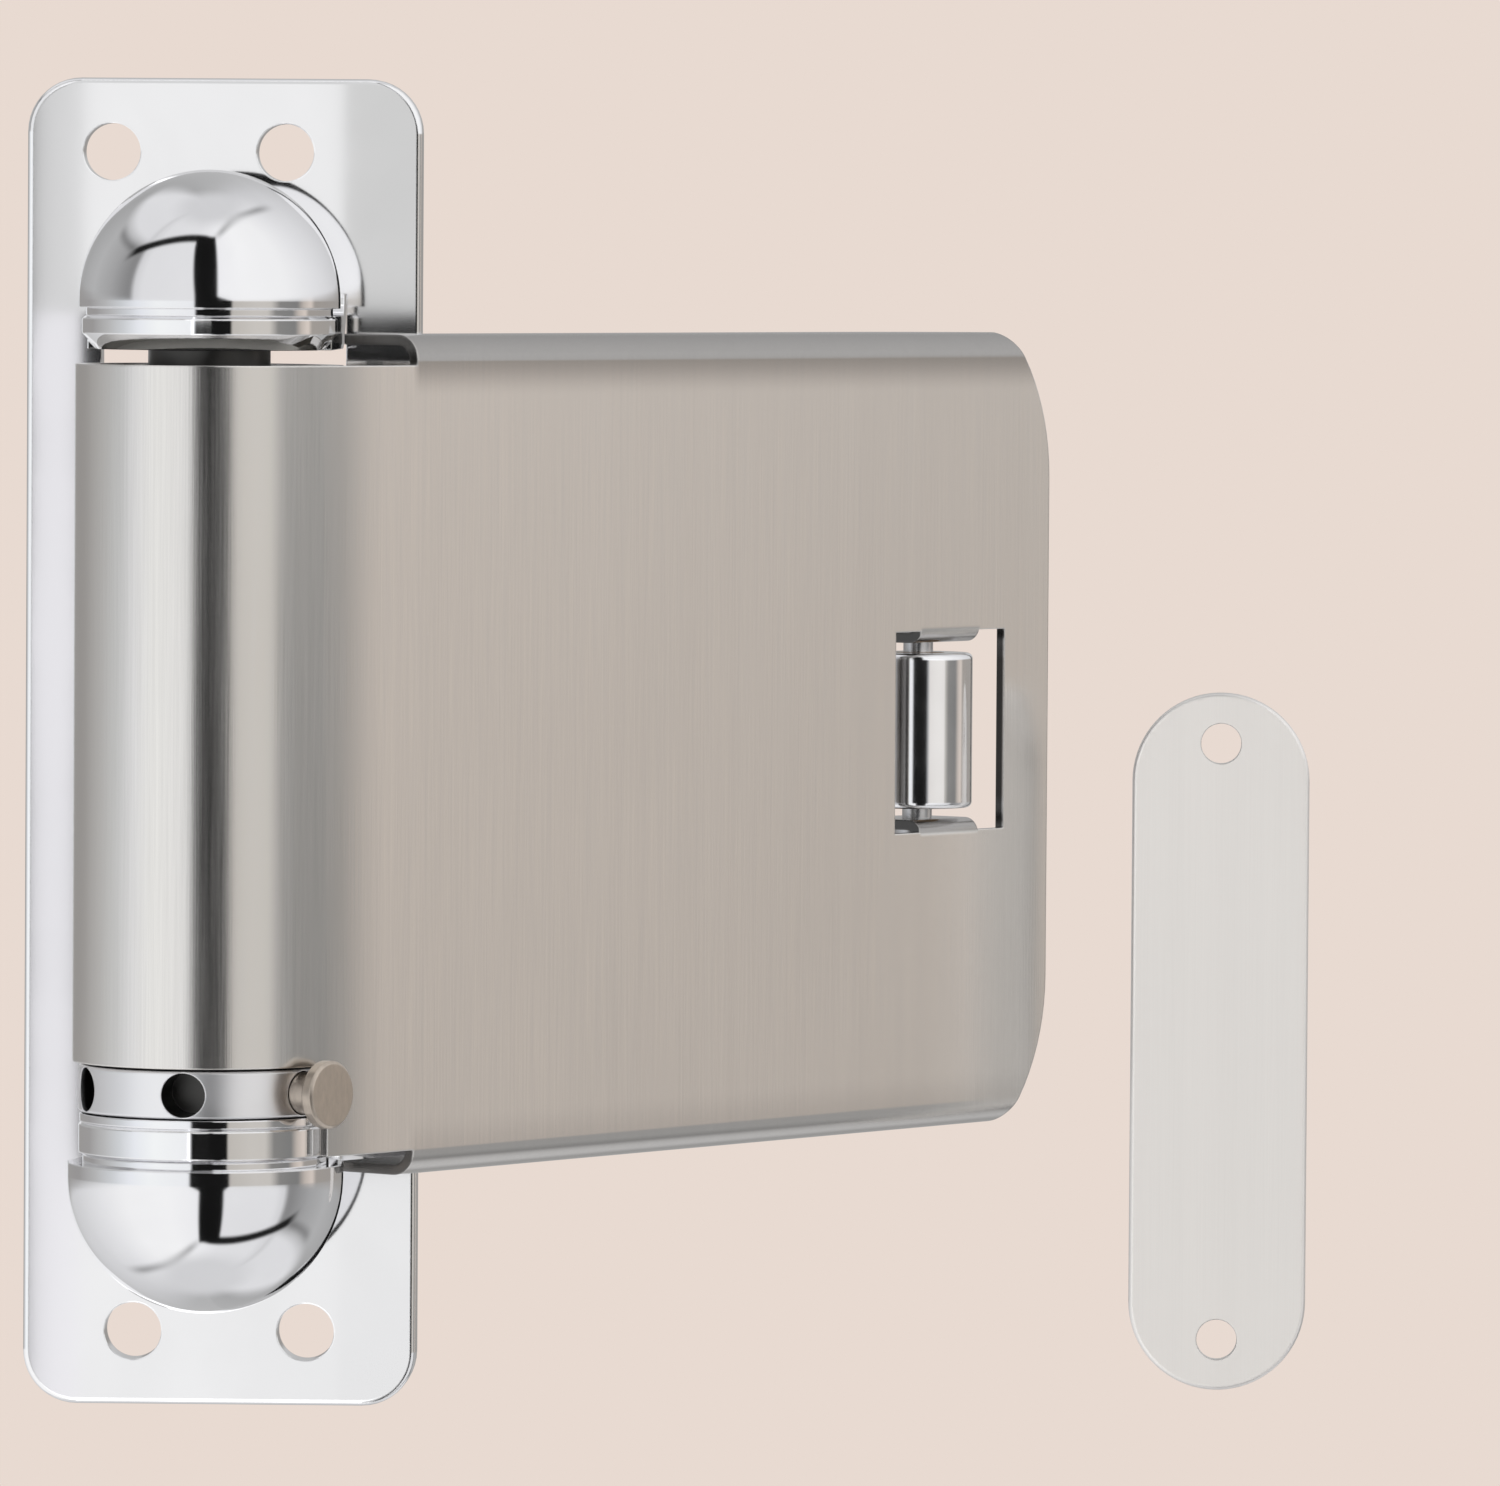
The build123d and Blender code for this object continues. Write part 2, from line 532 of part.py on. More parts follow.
def main():
    """Write one STEP file for each piece."""
    pieces = {
        "mounting_plate": mounting_plate(),
        "spindle": spindle(),
        "upper_dome_cap": upper_dome_cap(),
        "lower_dome_cap": lower_dome_cap(),
        "cap_washers": cap_washers(),
        "lower_thrust_washer": lower_thrust_washer(),
        "spring_anchor": spring_anchor(),
        "anchor_pin": anchor_pin_hole(),
        "torsion_spring": torsion_spring(),
        "spring_guide": spring_guide(),
        "upper_bush": upper_bush(),
        "lower_bush": lower_bush(),
        "roller_arm": roller_arm(),
        "roller_axle": roller_axle(),
        "roller": roller(),
        "roller_bushes": roller_bushes(),
        "winding_collar": winding_collar(),
        "collar_bush": collar_bush(),
        "tension_pin": tension_pin(),
        "rub_plate": rub_plate(),
    }
    os.makedirs("parts", exist_ok=True)
    for name, piece in pieces.items():
        export_step(TO_PLATE_ORIGIN * piece, f"parts/{name}.step")


main()
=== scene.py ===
from collections import namedtuple
from math import cos, degrees, pi, radians, sin, tan

import bpy
from bpy.props import FloatProperty, FloatVectorProperty, PointerProperty
from mathutils import Matrix, Vector


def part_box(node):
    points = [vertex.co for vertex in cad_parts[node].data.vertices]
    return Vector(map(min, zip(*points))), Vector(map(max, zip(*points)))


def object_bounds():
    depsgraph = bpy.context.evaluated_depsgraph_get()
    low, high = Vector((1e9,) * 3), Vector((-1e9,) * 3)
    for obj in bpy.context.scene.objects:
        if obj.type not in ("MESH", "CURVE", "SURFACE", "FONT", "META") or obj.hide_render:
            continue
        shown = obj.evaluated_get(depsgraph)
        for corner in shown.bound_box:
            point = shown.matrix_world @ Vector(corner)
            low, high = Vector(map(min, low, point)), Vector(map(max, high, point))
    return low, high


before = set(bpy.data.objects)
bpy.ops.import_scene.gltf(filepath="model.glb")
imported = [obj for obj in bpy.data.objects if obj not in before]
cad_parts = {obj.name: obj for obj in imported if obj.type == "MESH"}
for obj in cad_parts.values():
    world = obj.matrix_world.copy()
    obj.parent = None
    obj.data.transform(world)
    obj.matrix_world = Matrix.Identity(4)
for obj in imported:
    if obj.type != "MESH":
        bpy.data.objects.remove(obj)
cad_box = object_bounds()

bl_info = {
    "name": "Roller-arm door closer",
    "version": (1, 0, 0),
    "blender": (4, 5, 0),
    "location": "3D View > Sidebar > Closer",
    "description": "Finishes, stage and camera for a spring door closer with a roller arm",
    "category": "Object",
}

# The arm at rest: its pivot in metres, its web's bearing in degrees, the distances of the web's face and
# start from the pivot, and the length over which the start blends in
PIVOT_Y = -0.0217
WEB_BEARING = 53.896
WEB_FACE = 0.0139
WEB_START = 0.0135
WEB_BLEND = 0.001

# Depths behind the web's face between which the painted shade inside the fold starts
HOLLOW_DEPTHS = (0.0003, 0.0001)

# Where painted shade darkens the arm's bends and by how much: start, full and share, by the surface's tilt
UPPER_BEND = (0.03, 0.30, 0.55)
LOWER_BEND = (-0.03, -0.35, 0.28)

# The same painted shade by height on the web, in metres, next to its upper and lower bends
WEB_TOP = (0.0335, 0.0375, 0.54)
WEB_FOOT = (-0.0345, -0.0385, 0.16)

# How squarely a face of the arm has to face along the arm, or into the fold, to count as a cut or as
# inside, where shade is painted
CUT_FACING = (0.7, 0.9)
INSIDE_FACING = (-0.4, -0.8)

# Painted shade on the arm's bends and inside its fold, as factors of its colour
PAINTED_BEND_SHADE = 0.15
PAINTED_INSIDE_SHADE = 0.62

# Depths below the chrome collar's skin between which the painted shade in its bores starts
BORE_DEPTHS = (0.0005, 0.0002)

# The camera's azimuth and elevation seen from the barrel, in degrees. The studio's lower half is its upper
# half turned about that direction, and the camera sees the level mirrored in upright faces
VIEW_TURN = 4.2
VIEW_RISE = 2.4
LEVEL = -VIEW_RISE

# Half height and soft edge of the band of light at the level
LEVEL_BAND = 4.2
LEVEL_SOFT = 2.0

# The dark slit that the camera looks through, as azimuths of its left and right edges: at the level, then
# above and below it, first where the slit leaves the level and then at its far end
SLIT_AT_LEVEL = (-9.0, 24.0)
SLIT_ABOVE = ((-9.0, 11.0), (-13.5, 12.0))
SLIT_BELOW = ((-1.0, 19.5), (-3.0, 20.5))

# Degrees from the level over which the slit narrows, and over which its edges then run on
SLIT_NARROWS = (4.5, 7.5)
SLIT_RUN = (6.0, 50.0)

# Elevations over which the slit ends, and the soft edge of its sides
SLIT_TOP = (60.0, 56.0)
SLIT_SOFT = 1.5
SLIT_LIGHT = (0.008, 0.008, 0.008)

# Paler wall above the dim left: elevations over which it starts, azimuths, soft edge and light
UPPER_LEFT_RISE = (34.0, 46.0)
UPPER_LEFT_SPAN = (-150.0, -66.0)
UPPER_LEFT_SOFT = 12.0
UPPER_LEFT_LIGHT = (0.80, 0.80, 0.81)

# Elevations over which the walls turn into the ceiling
CEILING_RISE = (62.0, 80.0)
CEILING_LIGHT = (0.70, 0.70, 0.71)

# Dark rails on the studio's walls, in degrees: the elevation and azimuth of a rail's highest point, its
# drop for each square degree to the side, half its height, its soft edge, the azimuths of its ends, their
# soft edge, and its share of the darkness
Rail = namedtuple("Rail", "top middle bow half_height soft start stop fade share")
RAILS = (
    Rail(56.0, -10.0, 0.0047, half_height=3.6, soft=2.0, start=-84.0, stop=4.0, fade=6.0, share=1.0),
    Rail(34.0, -99.0, 0.0, half_height=2.0, soft=3.0, start=-118.0, stop=-80.0, fade=8.0, share=0.45),
    Rail(72.0, 68.0, 0.0045, half_height=2.5, soft=4.0, start=14.0, stop=132.0, fade=12.0, share=0.6),
)
RAIL_LIGHT = (0.012, 0.012, 0.012)

# Cards in front of the object that each light one node: the card's span across and upright, in metres, its
# strength, its colour and its place along Y
WHITE = (1.0, 1.0, 1.0)
CARD_Y = -0.20
Card = namedtuple("Card", "node across upright strength colour y", defaults=(WHITE, CARD_Y))

# Spans of the cards that the mounting plate's face mirrors
PLATE_LEFT = (-0.0365, -0.0305)
PLATE_MIDDLE = (-0.0305, -0.001)
PLATE_RIGHT = (-0.001, 0.018)
PLATE_TOP = (0.040, 0.085)
PLATE_SIDE = (-0.10, 0.040)
PLATE_FOOT = (-0.10, -0.056)

# Span of the cards above and below those, which the plate's rounded edges mirror
PLATE_EDGES = (-0.06, 0.04)

# The far card fills the slit below the level for the arm: its place along Y, and its azimuths and
# elevations in degrees
FAR_CARD_Y = -3.0
FAR_CARD_TURN = (-2.0, 20.0)
FAR_CARD_RISE = (-40.0, -12.5)

# The overhead light's width and place, in metres
OVERHEAD_WIDTH = 0.9
OVERHEAD_PLACE = (-0.25, -0.35, 0.8)

# Share of the floor's radius at which it starts to fade
FLOOR_SOLID = 0.5

# The camera's sensor in millimetres, and the nearest and farthest that it sees in metres
SENSOR_WIDTH = 36.0
CLIP_START = 0.05
CLIP_END = 20.0

FULL_TURN = 360.0


# Settings a user would change


class CloserFinishes(bpy.types.PropertyGroup):
    """Colours and surface values of the closer's metals and plastics."""

    chrome: FloatVectorProperty(
        name="Chrome",
        description="Colour of the polished chrome on the domes, collar and roller",
        subtype="COLOR",
        size=3,
        min=0,
        max=1,
        default=(0.90, 0.90, 0.915),
    )
    plate: FloatVectorProperty(
        name="Plate chrome",
        description="Colour of the plated sheet of the mounting plate",
        subtype="COLOR",
        size=3,
        min=0,
        max=1,
        default=(0.92, 0.92, 0.93),
    )
    nickel: FloatVectorProperty(
        name="Satin nickel",
        description="Colour of the folded arm and its knuckle",
        subtype="COLOR",
        size=3,
        min=0,
        max=1,
        default=(0.80, 0.78, 0.755),
    )
    rub: FloatVectorProperty(
        name="Rub plate steel",
        description="Colour of the pale satin rub plate",
        subtype="COLOR",
        size=3,
        min=0,
        max=1,
        default=(0.88, 0.86, 0.84),
    )
    pin: FloatVectorProperty(
        name="Pin bronze",
        description="Colour of the tension pin's nickel bronze",
        subtype="COLOR",
        size=3,
        min=0,
        max=1,
        default=(0.56, 0.49, 0.42),
    )
    steel: FloatVectorProperty(
        name="Turned steel",
        description="Colour of the spindle, axle and cross pin",
        subtype="COLOR",
        size=3,
        min=0,
        max=1,
        default=(0.60, 0.60, 0.61),
    )
    # Also used as painted shade in the collar's bores and on the arm's cut ends
    oiled: FloatVectorProperty(
        name="Oiled steel",
        description="Colour of the dark spring, its anchor, the collar's bores and the arm's cut ends",
        subtype="COLOR",
        size=3,
        min=0,
        max=1,
        default=(0.09, 0.088, 0.085),
    )
    bronze: FloatVectorProperty(
        name="Bearing bronze",
        description="Colour of the sintered bushes in the collar and roller",
        subtype="COLOR",
        size=3,
        min=0,
        max=1,
        default=(0.52, 0.33, 0.15),
    )
    nylon: FloatVectorProperty(
        name="Nylon",
        description="Colour of the knuckle's bushes and the spring's guide",
        subtype="COLOR",
        size=3,
        min=0,
        max=1,
        default=(0.78, 0.76, 0.70),
    )
    edge_round: FloatProperty(
        name="Edge round",
        description="Radius that the light sees on the edges of the metal pieces",
        unit="LENGTH",
        min=0,
        max=0.001,
        default=0.0002,
    )


class CloserStage(bpy.types.PropertyGroup):
    """Background, light and camera."""

    backdrop: FloatVectorProperty(
        name="Backdrop",
        description="Colour behind the object",
        subtype="COLOR",
        size=3,
        min=0,
        max=1,
        default=(0.807, 0.701, 0.638),
    )
    floor_drop: FloatProperty(
        name="Floor drop",
        description="Distance from the object's lowest point down to the floor",
        unit="LENGTH",
        min=0,
        default=0.045,
    )
    floor_radius: FloatProperty(
        name="Floor radius",
        description="Radius at which the floor has faded into the backdrop",
        unit="LENGTH",
        min=0.1,
        default=0.34,
    )
    overhead: FloatProperty(
        name="Overhead light",
        description="Power of the large soft light above the object",
        unit="POWER",
        min=0,
        default=1.5,
    )
    eye: FloatVectorProperty(
        name="Camera place",
        description="Where the camera stands",
        subtype="TRANSLATION",
        unit="LENGTH",
        size=3,
        default=(0.085145, -1.15949, 0.04952),
    )
    target: FloatVectorProperty(
        name="Camera target",
        description="Point at the middle of the picture",
        subtype="TRANSLATION",
        unit="LENGTH",
        size=3,
        default=(0.051484, -0.0217, 0.001198),
    )
    roll: FloatProperty(
        name="Camera roll",
        description="Turn of the camera about its line of sight",
        subtype="ANGLE",
        default=0.006737,
    )
    lens: FloatProperty(
        name="Lens",
        description="Focal length in millimetres on a sensor 36 mm wide",
        min=1,
        default=288.6,
    )


# Node helpers


def add_node(tree, kind, **values):
    """Add a node and set its plain attributes."""
    node = tree.nodes.new(kind)
    for name, value in values.items():
        setattr(node, name, value)
    return node


def set_inputs(node, **values):
    """Set a node's unlinked inputs by name, with _ standing for a space."""
    for name, value in values.items():
        node.inputs[name.replace("_", " ")].default_value = value
    return node


def plug(tree, value, socket):
    """Link a socket into an input, or set the input to a plain value."""
    if isinstance(value, bpy.types.NodeSocket):
        tree.links.new(value, socket)
    else:
        socket.default_value = value


def math_node(tree, operation, *values):
    """Math node whose inputs are sockets or numbers; returns its output."""
    node = add_node(tree, "ShaderNodeMath", operation=operation)
    for index, value in enumerate(values):
        plug(tree, value, node.inputs[index])
    return node.outputs[0]


def times(tree, first, second):
    """Product of two values."""
    return math_node(tree, "MULTIPLY", first, second)


def largest(tree, values):
    """Largest of several values."""
    most = values[0]
    for value in values[1:]:
        most = math_node(tree, "MAXIMUM", most, value)
    return most


def choose(tree, switch, first, second):
    """First value where the switch is 0, second where it is 1, and between them in between."""
    gap = math_node(tree, "SUBTRACT", second, first)
    return math_node(tree, "MULTIPLY_ADD", gap, switch, first)


def remap(tree, value, low, high, to_low, to_high, smooth=False):
    """Map a value from one range to another, clamped; returns the output."""
    node = add_node(tree, "ShaderNodeMapRange")
    if smooth:
        node.interpolation_type = "SMOOTHSTEP"
    set_inputs(node, From_Min=low, From_Max=high, To_Min=to_low, To_Max=to_high)
    tree.links.new(value, node.inputs["Value"])
    return node.outputs["Result"]


def mask(tree, value, start, full, smooth=False):
    """Mask that is 0 at the start and 1 at full, whichever of the two is higher."""
    return remap(tree, value, start, full, 0.0, 1.0, smooth)


def inside(tree, value, low, high, soft):
    """Mask that is 1 between two limits and 0 outside them, with soft edges."""
    over_low = mask(tree, value, low - soft, low + soft, smooth=True)
    under_high = mask(tree, value, high + soft, high - soft, smooth=True)
    return times(tree, over_low, under_high)


def tint(tree, factor, first, second):
    """Mix two colours, each a socket or a plain colour; returns the output."""
    node = add_node(tree, "ShaderNodeMix", data_type="RGBA")
    plug(tree, factor, node.inputs["Factor"])
    colours = [item for item in node.inputs if item.type == "RGBA"]
    for socket, value in zip(colours, (first, second)):
        plug(tree, (*value, 1) if isinstance(value, tuple) else value, socket)
    return [item for item in node.outputs if item.type == "RGBA"][0]


def part_along(tree, vector, axis):
    """A vector's part along X, Y or Z."""
    node = add_node(tree, "ShaderNodeSeparateXYZ")
    tree.links.new(vector, node.inputs[0])
    return node.outputs[axis]


def vector_node(tree, operation, first, second=None):
    """Vector math node whose inputs are sockets or plain vectors."""
    node = add_node(tree, "ShaderNodeVectorMath", operation=operation)
    plug(tree, first, node.inputs[0])
    if second is not None:
        plug(tree, second, node.inputs[1])
    return node


def dot_with(tree, first, second):
    """Dot product of two vectors."""
    return vector_node(tree, "DOT_PRODUCT", first, second).outputs["Value"]


def length_of(tree, vector):
    """Length of a vector."""
    return vector_node(tree, "LENGTH", vector).outputs["Value"]


def new_group(name, inputs, outputs):
    """Empty shader group; inputs are given by name and default, outputs by name and kind."""
    group = bpy.data.node_groups.new(name, "ShaderNodeTree")
    for label, default in inputs:
        socket = group.interface.new_socket(label, in_out="INPUT", socket_type="NodeSocketFloat")
        socket.default_value = default
    for label, kind in outputs:
        group.interface.new_socket(label, in_out="OUTPUT", socket_type="NodeSocket" + kind)
    return group, group.nodes.new("NodeGroupInput"), group.nodes.new("NodeGroupOutput")


def noise(tree, vector, **values):
    """Noise texture at a place, with its settings; returns the node."""
    node = set_inputs(add_node(tree, "ShaderNodeTexNoise"), **values)
    tree.links.new(vector, node.inputs["Vector"])
    return node


def brush_lines():
    """Group: fine upright lines of a brushed surface, and broader bands of them."""
    if "brush_lines" in bpy.data.node_groups:
        return bpy.data.node_groups["brush_lines"]
    inputs = [("Across", 7000.0), ("Along", 60.0)]
    outputs = [("Shade", "Float"), ("Band", "Float")]
    group, given, result = new_group("brush_lines", inputs, outputs)
    place = add_node(group, "ShaderNodeTexCoord")
    stretch = add_node(group, "ShaderNodeCombineXYZ")
    for axis, source in (("X", "Across"), ("Y", "Across"), ("Z", "Along")):
        group.links.new(given.outputs[source], stretch.inputs[axis])
    scaled = vector_node(group, "MULTIPLY", place.outputs["Object"], stretch.outputs[0]).outputs[0]
    fine = noise(group, scaled, Scale=1.0, Detail=3.0, Roughness=0.6)
    group.links.new(mask(group, fine.outputs["Fac"], 0.2, 0.8), result.inputs["Shade"])
    broad = noise(group, scaled, Scale=0.05, Detail=2.0, Roughness=0.5)
    group.links.new(mask(group, broad.outputs["Fac"], 0.3, 0.7), result.inputs["Band"])
    return group


def hand_marks():
    """Group: broad faint clouding left by plating and handling, and small specks."""
    if "hand_marks" in bpy.data.node_groups:
        return bpy.data.node_groups["hand_marks"]
    specks_per_cloud = 60.0
    outputs = [("Cloud", "Float"), ("Speck", "Float")]
    group, given, result = new_group("hand_marks", [("Size", 40.0)], outputs)
    place = add_node(group, "ShaderNodeTexCoord").outputs["Object"]
    cloud = noise(group, place, Detail=4.0, Roughness=0.55, Distortion=0.4)
    group.links.new(given.outputs["Size"], cloud.inputs["Scale"])
    group.links.new(mask(group, cloud.outputs["Fac"], 0.35, 0.65, smooth=True), result.inputs["Cloud"])
    speck = noise(group, place, Detail=2.0, Roughness=0.7)
    group.links.new(times(group, given.outputs["Size"], specks_per_cloud), speck.inputs["Scale"])
    group.links.new(mask(group, speck.outputs["Fac"], 0.62, 0.72), result.inputs["Speck"])
    return group


def broken_edge():
    """Group: normal that rounds the sheet's and turnings' edges, and a mask of those edges."""
    if "broken_edge" in bpy.data.node_groups:
        return bpy.data.node_groups["broken_edge"]
    outputs = [("Normal", "Vector"), ("Edge", "Float")]
    group, given, result = new_group("broken_edge", [("Radius", 0.0002)], outputs)
    soft = add_node(group, "ShaderNodeBevel", samples=6)
    group.links.new(given.outputs["Radius"], soft.inputs["Radius"])
    surface = add_node(group, "ShaderNodeNewGeometry")
    agree = dot_with(group, soft.outputs["Normal"], surface.outputs["Normal"])
    group.links.new(mask(group, agree, 0.995, 0.85), result.inputs["Edge"])
    group.links.new(soft.outputs["Normal"], result.inputs["Normal"])
    return group


def place_group(tree, group, **values):
    """Put a shader group in a material with its own input values."""
    node = add_node(tree, "ShaderNodeGroup", node_tree=group)
    return set_inputs(node, **values)


def new_finish(name):
    """Material with a plain Principled shader; returns material, tree and shader."""
    finish = bpy.data.materials.new(name)
    finish.use_nodes = True
    tree = finish.node_tree
    return finish, tree, tree.nodes["Principled BSDF"]


def open_finish(finish):
    """A made finish's tree, its shader and the colour that feeds the shader."""
    tree = finish.node_tree
    shader = tree.nodes["Principled BSDF"]
    return tree, shader, shader.inputs["Base Color"].links[0].from_socket


def bump(tree, shader, height, strength, normal=None):
    """Feed a height, over a softened normal where there is one, into the shader's normal."""
    node = set_inputs(add_node(tree, "ShaderNodeBump"), Strength=strength, Distance=0.00005)
    tree.links.new(height, node.inputs["Height"])
    if normal:
        tree.links.new(normal, node.inputs["Normal"])
    tree.links.new(node.outputs["Normal"], shader.inputs["Normal"])


def shaded(colour, factor):
    """Colour made lighter or darker."""
    return tuple(min(1.0, channel * factor) for channel in colour)


def vary(tree, factor, colour, low, high):
    """Colour that runs from one shade of itself to another."""
    return tint(tree, factor, shaded(colour, low), shaded(colour, high))


# Finishes


def metal_finish(name, colour, edge_round, roughness, spread, cloud_size, relief):
    """Plain metal with clouding from plating and handling, and slightly rubbed edges."""
    edge_shade = 1.05
    finish, tree, shader = new_finish(name)
    shader.inputs["Metallic"].default_value = 1.0
    marks = place_group(tree, hand_marks(), Size=cloud_size)
    edge = place_group(tree, broken_edge(), Radius=edge_round)
    base = vary(tree, marks.outputs["Cloud"], colour, low=0.965, high=1.02)
    base = tint(tree, edge.outputs["Edge"], base, shaded(colour, edge_shade))
    rough = remap(tree, marks.outputs["Cloud"], 0.0, 1.0, roughness - spread, roughness + spread)
    tree.links.new(base, shader.inputs["Base Color"])
    tree.links.new(rough, shader.inputs["Roughness"])
    bump(tree, shader, marks.outputs["Cloud"], relief, edge.outputs["Normal"])
    return finish


def brushed_finish(name, colour, edge_round, roughness, across, along, contrast, relief, edge_shade=1.08):
    """Metal with fine upright brush lines, broad bands, clouding, and edges that edge_shade makes lighter
    as rubbed or darker as painted shade.
    """
    band_share = 0.45
    cloud_share = 0.3
    rougher = 0.05
    smoother = 0.04
    finish, tree, shader = new_finish(name)
    shader.inputs["Metallic"].default_value = 1.0
    marks = place_group(tree, hand_marks(), Size=25.0)
    brush = place_group(tree, brush_lines(), Across=across, Along=along)
    edge = place_group(tree, broken_edge(), Radius=edge_round)
    base = vary(tree, brush.outputs["Shade"], colour, low=1 - contrast, high=1 + contrast)
    banded = vary(tree, brush.outputs["Band"], colour, low=0.97, high=1.03)
    base = tint(tree, band_share, base, banded)
    clouded = vary(tree, marks.outputs["Cloud"], colour, low=0.97, high=1.02)
    base = tint(tree, cloud_share, base, clouded)
    # Edges are lighter as rubbed when edge_shade is above one, and get painted shade when it is below one
    base = tint(tree, edge.outputs["Edge"], base, shaded(colour, edge_shade))
    rough = remap(tree, brush.outputs["Shade"], 0.0, 1.0, roughness + rougher, roughness - smoother)
    tree.links.new(base, shader.inputs["Base Color"])
    tree.links.new(rough, shader.inputs["Roughness"])
    bump(tree, shader, brush.outputs["Shade"], relief, edge.outputs["Normal"])
    return finish


def arm_masks(tree):
    """Masks of the painted shade on the arm's bends, inside its fold and on its cut ends, in the arm's own
    frame.
    """
    place = add_node(tree, "ShaderNodeTexCoord")
    spot = place.outputs["Object"]
    normal = place.outputs["Normal"]
    height = part_along(tree, spot, "Z")
    tilt = part_along(tree, normal, "Z")
    bearing = radians(WEB_BEARING)
    outward = (sin(bearing), -cos(bearing), 0.0)
    ahead = (cos(bearing), sin(bearing), 0.0)
    start = WEB_START + PIVOT_Y * sin(bearing)
    face = WEB_FACE - PIVOT_Y * cos(bearing)
    beyond = mask(tree, dot_with(tree, spot, ahead), start, start + WEB_BLEND)
    deep, shallow = HOLLOW_DEPTHS
    behind = mask(tree, dot_with(tree, spot, outward), face - shallow, face - deep)
    behind = times(tree, behind, beyond)
    # Painted shade on the bends, by the surface's tilt and by height on the web
    shades = []
    for value, (low, high, share) in (
        (tilt, UPPER_BEND),
        (tilt, LOWER_BEND),
        (height, WEB_TOP),
        (height, WEB_FOOT),
    ):
        shades.append(remap(tree, value, low, high, 0.0, share, smooth=True))
    painted_bend_shade = times(tree, largest(tree, shades), beyond)
    # Painted shade inside the fold, on faces behind the web that face into it
    inward = times(tree, tilt, math_node(tree, "SIGN", height))
    under_fold = mask(tree, inward, *INSIDE_FACING)
    back_face = mask(tree, dot_with(tree, normal, outward), *INSIDE_FACING)
    painted_hollow_shade = times(tree, largest(tree, [under_fold, back_face]), behind)
    # Painted shade on the cut ends, which face along the arm, in the oiled steel's colour
    along = math_node(tree, "ABSOLUTE", dot_with(tree, normal, ahead))
    cut = times(tree, mask(tree, along, *CUT_FACING), behind)
    return painted_bend_shade, painted_hollow_shade, cut


def arm_finish(colour, cut_shade_colour, edge_round):
    """Satin nickel with painted shade on its bends, inside the fold and on its cut ends."""
    finish = brushed_finish(
        "satin_nickel",
        colour,
        edge_round,
        roughness=0.20,
        across=7000.0,
        along=60.0,
        contrast=0.09,
        relief=0.05,
    )
    tree, shader, base = open_finish(finish)
    painted_bend_shade, painted_hollow_shade, cut = arm_masks(tree)
    # Paint the shade on the bends and inside the fold, and on the cut ends in the oiled steel's colour
    base = tint(tree, painted_bend_shade, base, shaded(colour, PAINTED_BEND_SHADE))
    base = tint(tree, painted_hollow_shade, base, shaded(colour, PAINTED_INSIDE_SHADE))
    base = tint(tree, cut, base, cut_shade_colour)
    tree.links.new(base, shader.inputs["Base Color"])
    return finish


def bored_chrome(name, colour, bore_shade_colour, axis, skin, edge_round):
    """Chrome with painted shade in its bores, which lie nearer to the axis than the skin radius."""
    finish = metal_finish(
        name,
        colour,
        edge_round,
        roughness=0.31,
        spread=0.03,
        cloud_size=60.0,
        relief=0.02,
    )
    tree, shader, base = open_finish(finish)
    place = add_node(tree, "ShaderNodeTexCoord")
    offset = vector_node(tree, "SUBTRACT", place.outputs["Object"], axis).outputs[0]
    level_offset = vector_node(tree, "MULTIPLY", offset, (1.0, 1.0, 0.0)).outputs[0]
    # Painted shade inside the bores, deeper than the collar's skin, in the oiled steel's colour
    deep, shallow = BORE_DEPTHS
    painted_bore_shade = mask(tree, length_of(tree, level_offset), skin - shallow, skin - deep)
    tree.links.new(tint(tree, painted_bore_shade, base, bore_shade_colour), shader.inputs["Base Color"])
    return finish


def nylon_finish(colour):
    """Matt moulded plastic."""
    finish, tree, shader = new_finish("nylon")
    marks = place_group(tree, hand_marks(), Size=160.0)
    base = vary(tree, marks.outputs["Cloud"], colour, low=0.94, high=1.03)
    tree.links.new(base, shader.inputs["Base Color"])
    rough = remap(tree, marks.outputs["Cloud"], 0.0, 1.0, to_low=0.48, to_high=0.6)
    tree.links.new(rough, shader.inputs["Roughness"])
    bump(tree, shader, marks.outputs["Speck"], strength=0.15)
    return finish


# Pieces


def dress(finish, *names):
    """Give CAD nodes, whose shapes are right as they are, their finish."""
    for name in names:
        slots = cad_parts[name].data.materials
        slots.clear()
        slots.append(finish)


class CLOSER_OT_mounting_plate(bpy.types.Operator):
    """Finish the mounting plate as bright plated sheet"""

    bl_idname = "closer.mounting_plate"
    bl_label = "Mounting plate"

    def execute(self, context):
        finishes = context.scene.closer_finishes
        sheet = metal_finish(
            "plated_sheet",
            tuple(finishes.plate),
            finishes.edge_round,
            roughness=0.05,
            spread=0.012,
            cloud_size=30.0,
            relief=0.01,
        )
        dress(sheet, "mounting_plate")
        return {"FINISHED"}


class CLOSER_OT_dome_caps(bpy.types.Operator):
    """Finish the dome caps and washers as polished chrome"""

    bl_idname = "closer.dome_caps"
    bl_label = "Dome caps and washers"

    def execute(self, context):
        finishes = context.scene.closer_finishes
        chrome = metal_finish(
            "polished_chrome",
            tuple(finishes.chrome),
            finishes.edge_round,
            roughness=0.075,
            spread=0.015,
            cloud_size=60.0,
            relief=0.01,
        )
        dress(chrome, "upper_dome_cap", "lower_dome_cap", "cap_washers", "lower_thrust_washer")
        return {"FINISHED"}


